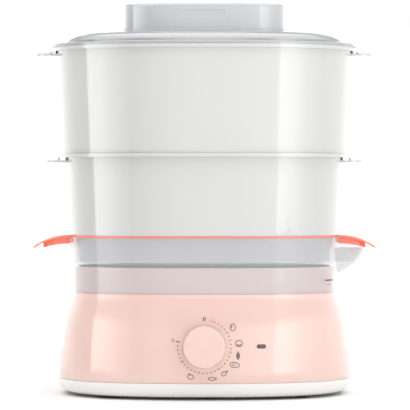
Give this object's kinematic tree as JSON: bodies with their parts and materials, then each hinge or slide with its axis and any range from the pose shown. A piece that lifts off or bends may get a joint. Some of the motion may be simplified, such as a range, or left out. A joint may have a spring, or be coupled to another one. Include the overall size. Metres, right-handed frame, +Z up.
{
  "type": "electric food steamer",
  "caption": "Oval electric food steamer with a domed lid, stacked white bowls, drip tray with side wings, clear water tank with a filling spout, and a base with a turn timer.",
  "frame": {"origin": "Centre of the bounding box on the worktop, at the level of the feet's undersides.", "axes": "+Z up, along the stack. -Y towards the user, where the timer knob is. +X to the user's right, where the filling spout is."},
  "size_m": [0.309, 0.2291, 0.352],
  "materials": {
    "lid_grey": "clear grey, polished",
    "white": "polished",
    "coral": "satin",
    "tank_grey": "clear smoky grey, polished",
    "pink": "polished",
    "off_white": "satin",
    "rubber": "matt",
    "silicone": "matt",
    "steel": "plain",
    "heater_metal": "spun",
    "fuse_metal": "plain",
    "brass": "plain",
    "chrome": "plated",
    "black_plastic": "matt",
    "lens": "smoked",
    "lamp_glass": "clear"
  },
  "bodies": {
    "base": {"water_tank": "tank_grey", "base_housing": "pink", "bottom_cover": "off_white", "feet": "rubber", "cover_screws": "steel", "heater_plate": "heater_metal", "heater_element": "steel", "heater_seal": "silicone", "heater_clamp_ring": "steel", "heater_screws": "steel", "thermostat": "black_plastic", "thermostat_strap": "steel", "thermal_fuse": "fuse_metal", "timer_front_plate": "steel", "timer_back_plate": "steel", "timer_pillars": "brass", "timer_screws": "steel", "timer_mainspring": "steel", "timer_contacts": "black_plastic", "timer_bell": "chrome", "indicator_lens": "lens", "indicator_lamp": "lamp_glass", "cord_gland": "rubber", "cord_clamp": "black_plastic", "cord_clamp_screws": "steel", "terminal_block": "black_plastic", "terminal_screws": "brass"},
    "timer_spindle": {"timer_knob": "pink", "timer_shaft": "steel", "timer_gear": "brass", "timer_cam": "black_plastic"},
    "escape_wheel": {"timer_escape_arbor": "brass"},
    "tray": {"drip_tray": "coral", "drip_basin": "tank_grey"},
    "lower_basket": {"lower_bowl": "white", "lower_steam_plate": "white"},
    "upper_basket": {"upper_bowl": "white", "upper_steam_plate": "white"},
    "cover_lid": {"lid": "lid_grey"}
  },
  "joints": [
    {"name": "tray_lift", "type": "slide", "parent": "base", "child": "tray", "axis": [0, 0, 1], "range_m": [0, 0.12]},
    {"name": "lower_bowl_lift", "type": "slide", "parent": "tray", "child": "lower_basket", "axis": [0, 0, 1], "range_m": [0, 0.12]},
    {"name": "upper_bowl_lift", "type": "slide", "parent": "lower_basket", "child": "upper_basket", "axis": [0, 0, 1], "range_m": [0, 0.12]},
    {"name": "lid_lift", "type": "slide", "parent": "upper_basket", "child": "cover_lid", "axis": [0, 0, 1], "range_m": [0, 0.12]},
    {"name": "timer_turn", "type": "hinge", "parent": "base", "child": "timer_spindle", "pos_m": [0, 0.00355, 0.0474], "axis": [0, 1, 0], "range_deg": [0, 345]},
    {"name": "escape_turn", "type": "hinge", "parent": "base", "child": "escape_wheel", "pos_m": [-0.016, 0.00355, 0.0474], "axis": [0, 1, 0], "range_deg": [-1035, 0]}
  ],
  "couplings": [
    {"joint": "escape_turn", "follows": "timer_turn", "ratio": -3}
  ]
}
